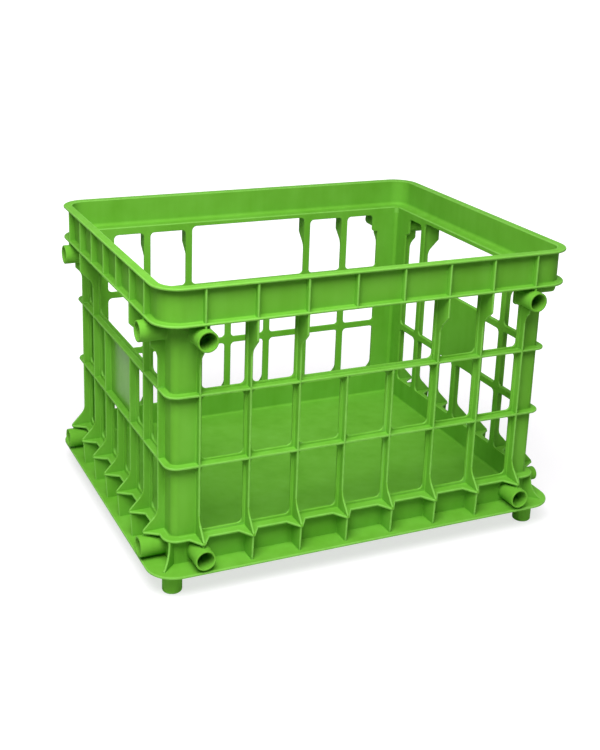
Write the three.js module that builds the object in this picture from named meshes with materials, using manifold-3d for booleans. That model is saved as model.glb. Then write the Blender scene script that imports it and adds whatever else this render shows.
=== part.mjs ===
// Storage crate: an open-topped moulded file crate with lattice walls, a flanged rim,
// eight coupling sockets and eight pegs. Millimetres, +Z up. The feet stand on Z = 0 and the crate is
// centred on the Z axis, with its long front wall facing -Y.
import * as THREE from "three";
import { mergeVertices } from "three/addons/utils/BufferGeometryUtils.js";
import Module from "manifold-3d";

const wasm = await Module();
wasm.setup();

// Height over all, and the plan of the rim over its lips
const CRATE_HEIGHT = 294;
const RIM_LENGTH = 423;
const RIM_WIDTH = 336;
const CORNER_RADIUS = 26;

// Heights, each from the level below it; the top row of windows takes what is left
const FOOT_HEIGHT = 23.5;
const FLOOR_RISE = 4.5;
const LOW_ROW_RISE = 70.75;
const MIDDLE_ROW_RISE = 67.5;
const SHELF_RISE = 4.5;
const RIM_RISE = 33;

// Moulded thicknesses
const FLANGE_THICKNESS = 2.5;
const FLOOR_THICKNESS = 2.5;
const LEDGE_THICKNESS = 2.5;
const RIB_THICKNESS = 2.25;
const FIN_THICKNESS = 2;
const LIP_THICKNESS = 2.5;
const SHELF_THICKNESS = 2.5;
const WEB_THICKNESS = 2.5;
const WALL_THICKNESS = 2.5;

// Depths inside the rim's outer edge, all the way round
const WALL_INSET = 19.75;
const WEB_INSET = 6.5;
const RIM_RIB_INSET = 0.75;
const GUSSET_INSET = 0.25;

// Reaches beyond the wall's outer face
const FIN_DEPTH = 6.5;
const LEDGE_DEPTH = 7.75;

// Reaches beyond the rim's outer edge
const POINT_REACH = 0.75;
const FLANGE_REACH = 3.75;
const COUPLING_REACH = 5.25;
const FLANGE_CORNER_RADIUS = 27;

// Fins: how many stand on a wall, and how far the end ones are from the rim's end
const FRONT_FINS = 8;
const FRONT_END_FIN = 43.5;
const SIDE_FINS = 7;
const SIDE_END_FIN = 41.25;

// Fins from each end of a wall to its hand hole, or to its label panel
const FRONT_HAND_HOLE_FINS = 3;
const SIDE_HAND_HOLE_FINS = 2;
const SIDE_LABEL_FINS = 3;

// Lattice strips and windows
const STRIP_WIDTH = 7.5;
const RIB_STRIP_HEIGHT = 7;
const SILL_HEIGHT = 3;
const HEAD_HEIGHT = 3.5;
const LEG_HEIGHT = 5;
const WINDOW_RADIUS = 4.5;

// Fin outlines: the flare on the ledge, the gusset under the lower lip and the knees between
const FLARE_HEIGHT = 16;
const FLARE_FOOT = 0.75;
const GUSSET_HEIGHT = 19.5;
const GUSSET_TAPER = 13;
const FIN_KNEE = 5;

// Ledge points and the webs under them
const POINT_WIDTH = 19.5;
const POINT_TIP = 3;
const BASE_WEB_INSET = 0.25;
const BASE_WEB_DRAFT = 1.5;
const CORNER_WEB_REACH = 25;
const CORNER_WEB_FOOT = 1;
const CORNER_WEB_KNEE = 8;

// Couplings: sockets on the front and left walls, pegs that fit them on the right and back ones
const SOCKET_DIAMETER = 19.5;
const SOCKET_WALL = 1.75;
const SOCKET_ROOM = 2.5;
const PEG_DIAMETER = 14;
const PEG_WALL = 2.25;
const PEG_CHAMFER = 1.25;

// Pads and braces behind the couplings, with drops below the coupling's middle
const PAD_MARGIN = 1.25;
const PAD_DROP = 8.75;
const PAD_CORNER = 3.5;
const BRACE_INSET = 6.5;
const BRACE_DROP = 15;
const BRACE_TAPER = 6.75;

// Feet and floor ribs
const FOOT_DIAMETER = 18.5;
const FOOT_INSET = 20.5;
const FOOT_CORE_DIAMETER = 10;
const FOOT_CORE_DEPTH = 15;
const FOOT_EDGE_RADIUS = 2;
const FLOOR_RIBS_ACROSS = 4;
const FLOOR_RIBS_ALONG = 3;
const FLOOR_RIB_SETBACK = 0.5;
const FLOOR_CORNER_CLEARANCE = 1;

// Sections meet on flat seams, this far past the couplings' pads
const SEAM_MARGIN = 1.75;

// Facets of the round stretches, and the grid that every corner point lies on
const CORNER_STEPS = 6;
const WINDOW_STEPS = 2;
const CURVE_STEPS = 5;
const ROUND_SIDES = 20;
const POINTS_PER_MM = 1024;

const WALL_INNER = WALL_INSET + WALL_THICKNESS;
const WEB_INNER = WEB_INSET + WEB_THICKNESS;
const FIN_INSET = WALL_INSET - FIN_DEPTH;
const LEDGE_INSET = WALL_INSET - LEDGE_DEPTH;
const SOCKET_RADIUS = SOCKET_DIAMETER / 2;
const PEG_RADIUS = PEG_DIAMETER / 2;
const PAD_RADIUS = SOCKET_RADIUS + PAD_MARGIN;

const FLANGE_TOP = FOOT_HEIGHT + FLANGE_THICKNESS;
const FLOOR_TOP = FLANGE_TOP + FLOOR_RISE;
const LEDGE_BOTTOM = FLANGE_TOP + SOCKET_DIAMETER + 2 * SOCKET_ROOM;
const LEDGE_TOP = LEDGE_BOTTOM + LEDGE_THICKNESS;
const LOWER_RIB_TOP = LEDGE_TOP + LOW_ROW_RISE;
const UPPER_RIB_TOP = LOWER_RIB_TOP + MIDDLE_ROW_RISE;
const LOWER_LIP_TOP = CRATE_HEIGHT - RIM_RISE;
const LOWER_LIP_BOTTOM = LOWER_LIP_TOP - LIP_THICKNESS;
const SHELF_TOP = LOWER_LIP_TOP + SHELF_RISE;
const SHELF_BOTTOM = SHELF_TOP - SHELF_THICKNESS;
const LEG_BOTTOM = SHELF_TOP - LEG_HEIGHT;
const TOP_LIP_BOTTOM = CRATE_HEIGHT - LIP_THICKNESS;
const LOWER_COUPLING = (FLANGE_TOP + LEDGE_BOTTOM) / 2;
const UPPER_COUPLING = LOWER_LIP_BOTTOM - SOCKET_ROOM - SOCKET_RADIUS;
const PAD_BOTTOM = UPPER_COUPLING - PAD_DROP;
const BRACE_BOTTOM = UPPER_COUPLING - BRACE_DROP;
const BRACE_FOOT = BRACE_BOTTOM - BRACE_TAPER;
const GUSSET_BOTTOM = LOWER_LIP_BOTTOM - GUSSET_HEIGHT;
const GUSSET_FOOT = GUSSET_BOTTOM - GUSSET_TAPER;

const QUARTER = Math.PI / 2;
const HALF_FIN = FIN_THICKNESS / 2;
const HALF_STRIP = STRIP_WIDTH / 2;
const GREEN = 0x68b238;
const SATIN = 0.42;

// Window rows from the ledge up: each lies between two strips, which a rib runs along
const stripAround = (ribTop) => {
  const middle = ribTop - RIB_THICKNESS / 2;
  return [middle - RIB_STRIP_HEIGHT / 2, middle + RIB_STRIP_HEIGHT / 2];
};
const [LOWER_STRIP_BOTTOM, LOWER_STRIP_TOP] = stripAround(LOWER_RIB_TOP);
const [UPPER_STRIP_BOTTOM, UPPER_STRIP_TOP] = stripAround(UPPER_RIB_TOP);
const LOW_ROW = [LEDGE_TOP + SILL_HEIGHT, LOWER_STRIP_BOTTOM];
const MIDDLE_ROW = [LOWER_STRIP_TOP, UPPER_STRIP_BOTTOM];
const TOP_ROW = [UPPER_STRIP_TOP, LEG_BOTTOM - HEAD_HEIGHT];

// A wall in its own frame: it faces -Y, with its length along X. The fins are numbered from the
// left, and handHoleFin and labelFin are the last ones before the hand hole and label panel.
function makeWall({ length, depth, fins, endFin, handHoleFin, labelFin }) {
  const half = length / 2;
  const last = half - endFin;
  const pitch = (2 * last) / (fins - 1);
  const places = Array.from({ length: fins }, (_, i) => i * pitch - last);
  const seam = last - PAD_RADIUS - SEAM_MARGIN;
  return { half, depth: depth / 2, places, last, seam, handHoleFin, labelFin };
}

const FRONT = makeWall({
  length: RIM_LENGTH,
  depth: RIM_WIDTH,
  fins: FRONT_FINS,
  endFin: FRONT_END_FIN,
  handHoleFin: FRONT_HAND_HOLE_FINS - 1,
});
const SIDE = makeWall({
  length: RIM_WIDTH,
  depth: RIM_LENGTH,
  fins: SIDE_FINS,
  endFin: SIDE_END_FIN,
  handHoleFin: SIDE_HAND_HOLE_FINS - 1,
  labelFin: SIDE_LABEL_FINS - 1,
});

// Solids from three.js geometry: only positions are kept, so that shared corners merge.
function solid(geometry) {
  const bare = geometry.clone();
  bare.deleteAttribute("normal");
  bare.deleteAttribute("uv");
  const merged = mergeVertices(bare);
  return new wasm.Manifold(
    new wasm.Mesh({
      numProp: 3,
      vertProperties: merged.attributes.position.array,
      triVerts: new Uint32Array(merged.index.array),
    }),
  );
}

const join = (bodies) => bodies.reduce((whole, body) => whole.add(body));
const cut = (body, tools) => tools.reduce((rest, tool) => rest.subtract(tool), body);

// Every point goes to the nearest place on one fine grid, so that sections share their seams.
function gridded(geometry) {
  const places = geometry.attributes.position.array;
  places.forEach((value, i) => {
    places[i] = Math.round(value * POINTS_PER_MM) / POINTS_PER_MM;
  });
  return geometry;
}

function geometryOf(body) {
  const { vertProperties, triVerts } = body.getMesh();
  const geometry = new THREE.BufferGeometry();
  geometry.setAttribute("position", new THREE.BufferAttribute(vertProperties, 3));
  geometry.setIndex(new THREE.BufferAttribute(triVerts, 1));
  return gridded(geometry);
}

function addPiece(group, name, body) {
  const material = new THREE.MeshStandardMaterial({ color: GREEN, roughness: SATIN, metalness: 0 });
  const mesh = new THREE.Mesh(geometryOf(body), material);
  mesh.name = name;
  group.add(mesh);
  return mesh;
}

// A box between two opposite corners
function box([x0, x1], [y0, y1], [z0, z1]) {
  const geometry = new THREE.BoxGeometry(x1 - x0, y1 - y0, z1 - z0);
  return solid(geometry.translate((x0 + x1) / 2, (y0 + y1) / 2, (z0 + z1) / 2));
}

// A flat outline, extruded along the third of three axes
function prism(points, length, [first, second, third], start) {
  const shape = new THREE.Shape(points.map(([a, b]) => new THREE.Vector2(a, b)));
  const geometry = new THREE.ExtrudeGeometry(shape, { depth: length, bevelEnabled: false });
  const turn = new THREE.Matrix4().makeBasis(first, second, third);
  return solid(geometry.applyMatrix4(turn).translate(...start));
}

const X = new THREE.Vector3(1, 0, 0);
const Y = new THREE.Vector3(0, 1, 0);
const Z = new THREE.Vector3(0, 0, 1);
const FACING_FRONT = [X, Z, Y.clone().negate()];

const fromPlan = (points, [z0, z1]) => prism(points, z1 - z0, [X, Y, Z], [0, 0, z0]);

// An upright plate across X, outlined in Y and Z
const acrossX = (points, middle) =>
  prism(points, FIN_THICKNESS, [Y, Z, X], [middle - HALF_FIN, 0, 0]);

// An upright plate across Y, outlined in X and Z
const acrossY = (points, middle) =>
  prism(points, FIN_THICKNESS, FACING_FRONT, [0, middle + HALF_FIN, 0]);

function arc([x, y], radius, from, to, steps) {
  return Array.from({ length: steps + 1 }, (_, i) => {
    const angle = from + ((to - from) * i) / steps;
    return [x + radius * Math.cos(angle), y + radius * Math.sin(angle)];
  });
}

// A curve from start to end, pulled towards the knee
function curve(start, knee, end) {
  const bend = new THREE.QuadraticBezierCurve(
    new THREE.Vector2(...start),
    new THREE.Vector2(...knee),
    new THREE.Vector2(...end),
  );
  return bend.getPoints(CURVE_STEPS).map((point) => [point.x, point.y]);
}

// The way round a fin's corner, which starts and ends a knee's length from it
function kneeAt(corner, before, after) {
  const towards = (point) => {
    const [dx, dy] = [point[0] - corner[0], point[1] - corner[1]];
    const part = FIN_KNEE / Math.hypot(dx, dy);
    return [corner[0] + dx * part, corner[1] + dy * part];
  };
  return curve(towards(before), corner, towards(after));
}

function roundedBox([x0, x1], [y0, y1], radius, steps) {
  return [
    ...arc([x1 - radius, y0 + radius], radius, -QUARTER, 0, steps),
    ...arc([x1 - radius, y1 - radius], radius, 0, QUARTER, steps),
    ...arc([x0 + radius, y1 - radius], radius, QUARTER, 2 * QUARTER, steps),
    ...arc([x0 + radius, y0 + radius], radius, 2 * QUARTER, 3 * QUARTER, steps),
  ];
}

// A straight band on a wall, between two depths inside the rim's edge
function band(wall, [u0, u1], [outer, inner], heights) {
  return box([u0, u1], [outer - wall.depth, inner - wall.depth], heights);
}

// One side of a corner's plan, at one depth inside the rim's edge
function cornerLine(corner, inset) {
  const x = corner.along.half;
  const y = -corner.along.depth;
  const radius = Math.max(CORNER_RADIUS - inset, 0);
  const centre = [x - inset - radius, y + inset + radius];
  const bend = radius > 0 ? arc(centre, radius, -QUARTER, 0, CORNER_STEPS) : [centre];
  return [[corner.along.seam, y + inset], ...bend, [x - inset, -corner.next.seam]];
}

// The same band round the corner at the wall's right end, from seam to seam
function cornerBand(corner, [outer, inner], heights) {
  const points = [...cornerLine(corner, outer), ...cornerLine(corner, inner).reverse()];
  return fromPlan(points, heights);
}

// The windows of a wall, as outlines in X and Z, from the left end fin to the right one
function windowOutlines(wall) {
  const holes = [];
  const last = wall.places.length - 1;
  for (let i = 0; i < last; i += 1) {
    const sides = [wall.places[i] + HALF_STRIP, wall.places[i + 1] - HALF_STRIP];
    const labelled = i >= wall.labelFin && i < last - wall.labelFin;
    const inHandHole = i >= wall.handHoleFin && i < last - wall.handHoleFin;
    holes.push(roundedBox(sides, LOW_ROW, WINDOW_RADIUS, WINDOW_STEPS));
    if (!labelled) holes.push(roundedBox(sides, MIDDLE_ROW, WINDOW_RADIUS, WINDOW_STEPS));
    if (i === 0) holes.push(mirrored(endWindow(-sides[1], -sides[0])));
    else if (i === last - 1) holes.push(endWindow(...sides));
    else if (!inHandHole) holes.push(roundedBox(sides, TOP_ROW, WINDOW_RADIUS, WINDOW_STEPS));
  }
  return holes;
}

const mirrored = (points) => points.map(([u, z]) => [-u, z]).reverse();

// The top window beside the right end fin: a coupling's pad takes its outer upper corner
function endWindow(inner, outer) {
  const pad = outer + HALF_STRIP - PAD_RADIUS;
  const padCorner = [pad + PAD_CORNER, PAD_BOTTOM + PAD_CORNER];
  const [bottom, top] = TOP_ROW;
  const r = WINDOW_RADIUS;
  return [
    ...arc([outer - r, bottom + r], r, -QUARTER, 0, WINDOW_STEPS),
    [outer, PAD_BOTTOM],
    ...arc(padCorner, PAD_CORNER, 3 * QUARTER, 2 * QUARTER, WINDOW_STEPS),
    ...arc([pad - r, top - r], r, 0, QUARTER, WINDOW_STEPS),
    ...arc([inner + r, top - r], r, QUARTER, 2 * QUARTER, WINDOW_STEPS),
    ...arc([inner + r, bottom + r], r, 2 * QUARTER, 3 * QUARTER, WINDOW_STEPS),
  ];
}

// Windows as tools that pass through the wall
function windowTools(wall) {
  const inner = WALL_INNER - wall.depth;
  return windowOutlines(wall).map((points) =>
    prism(points, WALL_THICKNESS, FACING_FRONT, [0, inner, 0]),
  );
}

// A body of the next wall round, seen from the frame of the wall before it
const NEXT_WALL = [0, 0, 90];
const onNextWall = (body) => body.rotate(NEXT_WALL);

// Fin outlines, as distances from the rim's edge and heights. The fin's root is on the wall.
// The low fin runs from the ledge up to a rib, the high fin from the upper rib to the lip. It
// widens to an edge, which the inset and the height of its lower end give.
function lowFin(top) {
  const tip = [POINT_REACH, LEDGE_TOP + FLARE_FOOT];
  const end = [-FIN_INSET, top];
  return [
    [-WALL_INSET, LEDGE_TOP],
    [POINT_REACH, LEDGE_TOP],
    tip,
    ...kneeAt([-FIN_INSET, LEDGE_TOP + FLARE_HEIGHT], tip, end),
    end,
    [-WALL_INSET, top],
  ];
}

function highFin(inset, foot, bottom) {
  const start = [-FIN_INSET, UPPER_RIB_TOP];
  const edge = [-inset, bottom];
  return [
    [-WALL_INSET, UPPER_RIB_TOP],
    start,
    ...kneeAt([-FIN_INSET, foot], start, edge),
    edge,
    [-inset, LOWER_LIP_BOTTOM],
    [-WALL_INSET, LOWER_LIP_BOTTOM],
  ];
}

const GUSSET = highFin(GUSSET_INSET, GUSSET_FOOT, GUSSET_BOTTOM);
const BRACE = highFin(BRACE_INSET, BRACE_FOOT, BRACE_BOTTOM);

// A fin on a wall, at one place along it
function fin(wall, outline, place) {
  const points = outline.map(([reach, z]) => [-wall.depth - reach, z]);
  return acrossX(points.reverse(), place);
}

// The wall's inner fins: all but the end ones, which belong to the corner posts
const innerFins = (wall) => wall.places.slice(1, -1);

// A point of the ledge under a fin, in plan
function ledgePoint(wall, place) {
  const root = LEDGE_INSET - wall.depth;
  const tip = -POINT_REACH - wall.depth;
  const points = [
    [place - POINT_WIDTH / 2, root],
    [place - POINT_TIP / 2, tip],
    [place + POINT_TIP / 2, tip],
    [place + POINT_WIDTH / 2, root],
  ];
  return fromPlan(points, [LEDGE_BOTTOM, LEDGE_TOP]);
}

// Base: a plain skirt on the flange, under a ledge whose points carry the fins
const SKIRT = [[WALL_INSET, WALL_INNER], [FLANGE_TOP, LEDGE_BOTTOM]];
const LEDGE = [[LEDGE_INSET, WALL_INNER], [LEDGE_BOTTOM, LEDGE_TOP]];
const BASE_WEB = [
  [-WALL_INSET, FLANGE_TOP],
  [-BASE_WEB_INSET - BASE_WEB_DRAFT, FLANGE_TOP],
  [-BASE_WEB_INSET, LEDGE_BOTTOM],
  [-WALL_INSET, LEDGE_BOTTOM],
];

function baseRail(wall) {
  const span = [-wall.seam, wall.seam];
  return join([
    band(wall, span, ...SKIRT),
    band(wall, span, ...LEDGE),
    ...innerFins(wall).map((place) => ledgePoint(wall, place)),
    ...innerFins(wall).map((place) => fin(wall, BASE_WEB, place)),
  ]);
}

// The base's corner also has a web across it, from the skirt towards the flange's corner
const ACROSS_CORNER = [0, 0, -45];

function baseCorner(corner) {
  const centre = [corner.along.half - CORNER_RADIUS, CORNER_RADIUS - corner.along.depth];
  const root = CORNER_RADIUS - WALL_INNER;
  const top = CORNER_RADIUS - LEDGE_INSET;
  const outline = [
    [root, FLANGE_TOP],
    [CORNER_WEB_REACH, FLANGE_TOP],
    ...curve(
      [CORNER_WEB_REACH, FLANGE_TOP + CORNER_WEB_FOOT],
      [top, FLANGE_TOP + CORNER_WEB_KNEE],
      [top, LEDGE_BOTTOM],
    ),
    [root, LEDGE_BOTTOM],
  ];
  const web = acrossY(outline, 0).rotate(ACROSS_CORNER).translate([...centre, 0]);
  return join([
    cornerBand(corner, ...SKIRT),
    cornerBand(corner, ...LEDGE),
    ledgePoint(corner.along, corner.along.last),
    onNextWall(ledgePoint(corner.next, -corner.next.last)),
    web,
  ]);
}

// Lattice: the two lower rows of windows, with the ribs and fins that cross them
const ribHeights = (top) => [top - RIB_THICKNESS, top];
const RIB = [FIN_INSET, WALL_INSET];

function lattice(wall) {
  const span = [-wall.seam, wall.seam];
  const handHole = handHoleSpan(wall);
  const last = wall.places.length - 1;
  const fins = innerFins(wall).map((place, i) => {
    const underLabel = i + 1 > wall.labelFin && i + 1 < last - wall.labelFin;
    return fin(wall, lowFin(underLabel ? LOWER_RIB_TOP : UPPER_RIB_TOP), place);
  });
  const body = join([
    band(wall, span, [WALL_INSET, WALL_INNER], [LEDGE_TOP, UPPER_RIB_TOP]),
    band(wall, handHole, [WALL_INSET, WALL_INNER], [UPPER_RIB_TOP, UPPER_STRIP_TOP]),
    band(wall, span, RIB, ribHeights(LOWER_RIB_TOP)),
    band(wall, span, RIB, ribHeights(UPPER_RIB_TOP)),
    ...fins,
  ]);
  const label = wall.labelFin === undefined ? [] : [labelPanel(wall)];
  return cut(body, [...windowTools(wall), ...label]);
}

const handHoleSpan = (wall) => {
  const edge = wall.places[wall.places.length - 1 - wall.handHoleFin] - HALF_STRIP;
  return [-edge, edge];
};

function labelPanel(wall) {
  const edge = wall.places[wall.places.length - 1 - wall.labelFin] - HALF_STRIP;
  return band(wall, [-edge, edge], [WALL_INSET, WALL_INNER], MIDDLE_ROW);
}

// The top row beside the hand hole, on the left or the right of a wall
function upperPanel(wall, onLeft) {
  const edge = handHoleSpan(wall)[1];
  const span = onLeft ? [-wall.seam, -edge] : [edge, wall.seam];
  const fins = innerFins(wall).filter((place) => place > span[0] && place < span[1]);
  const body = join([
    band(wall, span, [WALL_INSET, WALL_INNER], [UPPER_RIB_TOP, LEG_BOTTOM]),
    ...fins.map((place) => fin(wall, GUSSET, place)),
  ]);
  return cut(body, windowTools(wall));
}

// Corner posts: the walls' plain ends, with the ribs running round and the low end fins
function cornerPost(corner) {
  const { along, next } = corner;
  const body = join([
    cornerBand(corner, [WALL_INSET, WALL_INNER], [LEDGE_TOP, LEG_BOTTOM]),
    cornerBand(corner, RIB, ribHeights(LOWER_RIB_TOP)),
    cornerBand(corner, RIB, ribHeights(UPPER_RIB_TOP)),
    fin(along, lowFin(UPPER_RIB_TOP), along.last),
    onNextWall(fin(next, lowFin(UPPER_RIB_TOP), -next.last)),
  ]);
  return cut(body, [...windowTools(along), ...windowTools(next).map(onNextWall)]);
}

// Rim: a channel of two lips and a web, with a shelf and a short leg inside
const RIM_BANDS = [
  [[0, WEB_INNER], [TOP_LIP_BOTTOM, CRATE_HEIGHT]],
  [[WEB_INSET, WEB_INNER], [LOWER_LIP_BOTTOM, CRATE_HEIGHT]],
  [[0, WEB_INNER], [LOWER_LIP_BOTTOM, LOWER_LIP_TOP]],
  [[WEB_INSET, WALL_INNER], [SHELF_BOTTOM, SHELF_TOP]],
  [[WALL_INSET, WALL_INNER], [LEG_BOTTOM, SHELF_TOP]],
];

const rimRib = (wall, place) =>
  fin(
    wall,
    [
      [-WEB_INSET, LOWER_LIP_TOP],
      [-RIM_RIB_INSET, LOWER_LIP_TOP],
      [-RIM_RIB_INSET, TOP_LIP_BOTTOM],
      [-WEB_INSET, TOP_LIP_BOTTOM],
    ],
    place,
  );

function rimRail(wall) {
  const span = [-wall.seam, wall.seam];
  return join([
    ...RIM_BANDS.map(([depths, heights]) => band(wall, span, depths, heights)),
    ...innerFins(wall).map((place) => rimRib(wall, place)),
  ]);
}

function rimCorner(corner) {
  return join([
    ...RIM_BANDS.map(([depths, heights]) => cornerBand(corner, depths, heights)),
    rimRib(corner.along, corner.along.last),
    onNextWall(rimRib(corner.next, -corner.next.last)),
  ]);
}

// Couplings: short tubes on the walls, each braced by the fins or webs that it stands on
const SOCKET_HEAD = [
  [-WALL_INSET, UPPER_COUPLING],
  [-GUSSET_INSET, UPPER_COUPLING],
  [-GUSSET_INSET, LOWER_LIP_BOTTOM],
  [-WALL_INSET, LOWER_LIP_BOTTOM],
];
const PEG_WEB = [
  [-WALL_INSET, FLANGE_TOP],
  [-BRACE_INSET, FLANGE_TOP],
  [-BRACE_INSET, LEDGE_BOTTOM],
  [-WALL_INSET, LEDGE_BOTTOM],
];
const SOCKET = {
  name: "socket",
  profile: (length) => [
    [SOCKET_RADIUS - SOCKET_WALL, 0],
    [SOCKET_RADIUS, 0],
    [SOCKET_RADIUS, length],
    [SOCKET_RADIUS - SOCKET_WALL, length],
  ],
  upperBraces: [BRACE, SOCKET_HEAD],
  lowerBraces: [BASE_WEB],
};
const PEG = {
  name: "peg",
  profile: (length) => [
    [PEG_RADIUS - PEG_WALL, 0],
    [PEG_RADIUS, 0],
    [PEG_RADIUS, length - PEG_CHAMFER],
    [PEG_RADIUS - PEG_CHAMFER, length],
    [PEG_RADIUS - PEG_WALL, length],
  ],
  upperBraces: [BRACE],
  lowerBraces: [PEG_WEB],
};
const OUT_OF_WALL = [180, 0, 0];

// A profile of radii and heights, turned round its axis and closed
function turned(profile) {
  const points = [...profile, profile[0]].map(([radius, height]) => new THREE.Vector2(radius, height));
  return solid(new THREE.LatheGeometry(points, ROUND_SIDES));
}

function coupling(wall, kind, place, height, braces) {
  const length = WALL_INSET + COUPLING_REACH;
  const profile = kind.profile(length);
  const bore = profile[0][0];
  const at = (body) => body.rotate(OUT_OF_WALL).translate([place, WALL_INSET - wall.depth, height]);
  const core = new THREE.CylinderGeometry(bore, bore, length, ROUND_SIDES);
  const hollow = at(solid(core.translate(0, length / 2, 0)));
  const fins = braces.map((outline) => fin(wall, outline, place));
  return join([at(turned(profile)), ...fins]).subtract(hollow);
}

// Floor pan: the flange all round, and the floor raised inside the skirt on ribs
function floorPan() {
  const length = RIM_LENGTH / 2;
  const width = RIM_WIDTH / 2;
  const both = (size) => [-size, size];
  const inside = [length - WALL_INNER, width - WALL_INNER];
  const pocket = inside.map((size) => size - WALL_THICKNESS);
  const ceiling = FLOOR_TOP - FLOOR_THICKNESS;
  const flangePlan = roundedBox(
    both(length + FLANGE_REACH),
    both(width + FLANGE_REACH),
    FLANGE_CORNER_RADIUS,
    CORNER_STEPS,
  );
  const floorRadius = Math.max(CORNER_RADIUS - WALL_INNER, 0) + FLOOR_CORNER_CLEARANCE;
  const floorPlan = roundedBox(both(inside[0]), both(inside[1]), floorRadius, WINDOW_STEPS);
  const body = join([
    fromPlan(flangePlan, [FOOT_HEIGHT, FLANGE_TOP]),
    fromPlan(floorPlan, [FOOT_HEIGHT, FLOOR_TOP]),
  ]);
  const hollow = box(both(pocket[0]), both(pocket[1]), [FOOT_HEIGHT, ceiling]);
  const ribHeight = [FOOT_HEIGHT + FLOOR_RIB_SETBACK, ceiling];
  const spaced = (count, size) =>
    Array.from({ length: count }, (_, i) => size * ((2 * (i + 1)) / (count + 1) - 1));
  const ribs = [
    ...spaced(FLOOR_RIBS_ACROSS, pocket[0]).map((x) =>
      box([x - HALF_FIN, x + HALF_FIN], both(pocket[1]), ribHeight),
    ),
    ...spaced(FLOOR_RIBS_ALONG, pocket[1]).map((y) =>
      box(both(pocket[0]), [y - HALF_FIN, y + HALF_FIN], ribHeight),
    ),
  ];
  return join([body.subtract(hollow), ...ribs]);
}

// Feet: cored studs with a rounded lower edge, under the flange's corners
function foot() {
  const radius = FOOT_DIAMETER / 2;
  const core = FOOT_CORE_DIAMETER / 2;
  const edge = arc(
    [radius - FOOT_EDGE_RADIUS, FOOT_EDGE_RADIUS],
    FOOT_EDGE_RADIUS,
    -QUARTER,
    0,
    WINDOW_STEPS,
  );
  const profile = [
    [0, FOOT_CORE_DEPTH],
    [core, FOOT_CORE_DEPTH],
    [core, 0],
    ...edge,
    [radius, FOOT_HEIGHT],
    [0, FOOT_HEIGHT],
  ];
  const points = profile.map(([r, height]) => new THREE.Vector2(r, height));
  return solid(new THREE.LatheGeometry(points, ROUND_SIDES).rotateX(QUARTER));
}

// The crate: four walls in turn, each with the corner at its right end
const crate = new THREE.Group();
addPiece(crate, "floor_pan", floorPan());

const TURNS = [
  { side: "front", corner: "front_right", ends: ["left", "right"], kind: SOCKET, along: FRONT, next: SIDE },
  { side: "right", corner: "back_right", ends: ["front", "back"], kind: PEG, along: SIDE, next: FRONT },
  { side: "back", corner: "back_left", ends: ["right", "left"], kind: PEG, along: FRONT, next: SIDE },
  { side: "left", corner: "front_left", ends: ["back", "front"], kind: SOCKET, along: SIDE, next: FRONT },
];

TURNS.forEach(({ side, corner, ends, kind, along, next }, turn) => {
  const group = new THREE.Group();
  group.rotation.z = turn * QUARTER;
  crate.add(group);

  addPiece(group, `${side}_base_rail`, baseRail(along));
  addPiece(group, `${side}_lattice`, lattice(along));
  addPiece(group, `${side}_upper_panel_${ends[0]}`, upperPanel(along, true));
  addPiece(group, `${side}_upper_panel_${ends[1]}`, upperPanel(along, false));
  addPiece(group, `${side}_rim`, rimRail(along));
  if (along.labelFin !== undefined) addPiece(group, `${side}_label_panel`, labelPanel(along));

  addPiece(group, `${corner}_base_corner`, baseCorner({ along, next }));
  addPiece(group, `${corner}_post`, cornerPost({ along, next }));
  addPiece(group, `${corner}_rim_corner`, rimCorner({ along, next }));

  ends.forEach((end, i) => {
    const place = i === 0 ? -along.last : along.last;
    const upper = coupling(along, kind, place, UPPER_COUPLING, kind.upperBraces);
    const lower = coupling(along, kind, place, LOWER_COUPLING, kind.lowerBraces);
    addPiece(group, `${side}_upper_${kind.name}_${end}`, upper);
    addPiece(group, `${side}_lower_${kind.name}_${end}`, lower);
  });

  const stud = addPiece(group, `${corner}_foot`, foot());
  stud.position.set(along.half - FOOT_INSET, FOOT_INSET - along.depth, 0);
});

export default crate;
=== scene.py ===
"""Storage crate: the looks of an open-topped moulded crate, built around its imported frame.

The crate is one plastic moulding. Its sections are swept, cut and joined into one seamless
body with rounded edges and filleted roots, which is then parted into the pieces of the frame.
Sizes are in millimetres until a mesh is made.
"""
import math

import bmesh
import bpy
from mathutils import Matrix, Vector


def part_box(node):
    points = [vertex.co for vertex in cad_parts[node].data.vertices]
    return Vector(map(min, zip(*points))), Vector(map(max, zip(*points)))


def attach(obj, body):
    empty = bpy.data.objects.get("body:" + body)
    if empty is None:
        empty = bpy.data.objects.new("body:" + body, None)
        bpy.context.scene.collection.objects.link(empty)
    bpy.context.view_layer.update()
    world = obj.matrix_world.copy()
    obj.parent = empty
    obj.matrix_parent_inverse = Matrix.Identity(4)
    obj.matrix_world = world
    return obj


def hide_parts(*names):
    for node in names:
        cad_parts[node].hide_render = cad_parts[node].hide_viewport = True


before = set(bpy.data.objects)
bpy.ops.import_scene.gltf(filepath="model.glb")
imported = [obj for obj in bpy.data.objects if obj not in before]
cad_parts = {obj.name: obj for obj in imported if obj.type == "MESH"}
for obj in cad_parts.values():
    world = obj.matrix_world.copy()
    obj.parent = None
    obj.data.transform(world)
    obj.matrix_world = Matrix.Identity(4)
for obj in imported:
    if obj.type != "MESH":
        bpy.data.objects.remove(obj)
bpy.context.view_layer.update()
MM = 0.001
QUARTER = math.pi / 2


def span(node, axis):
    """How far a node of the frame reaches along an axis: its low and high ends."""
    low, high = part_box(node)
    index = "xyz".index(axis)
    return low[index] / MM, high[index] / MM


def middle(node, axis):
    return sum(span(node, axis)) / 2


def width(node):
    low, high = span(node, "x")
    return high - low


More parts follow.
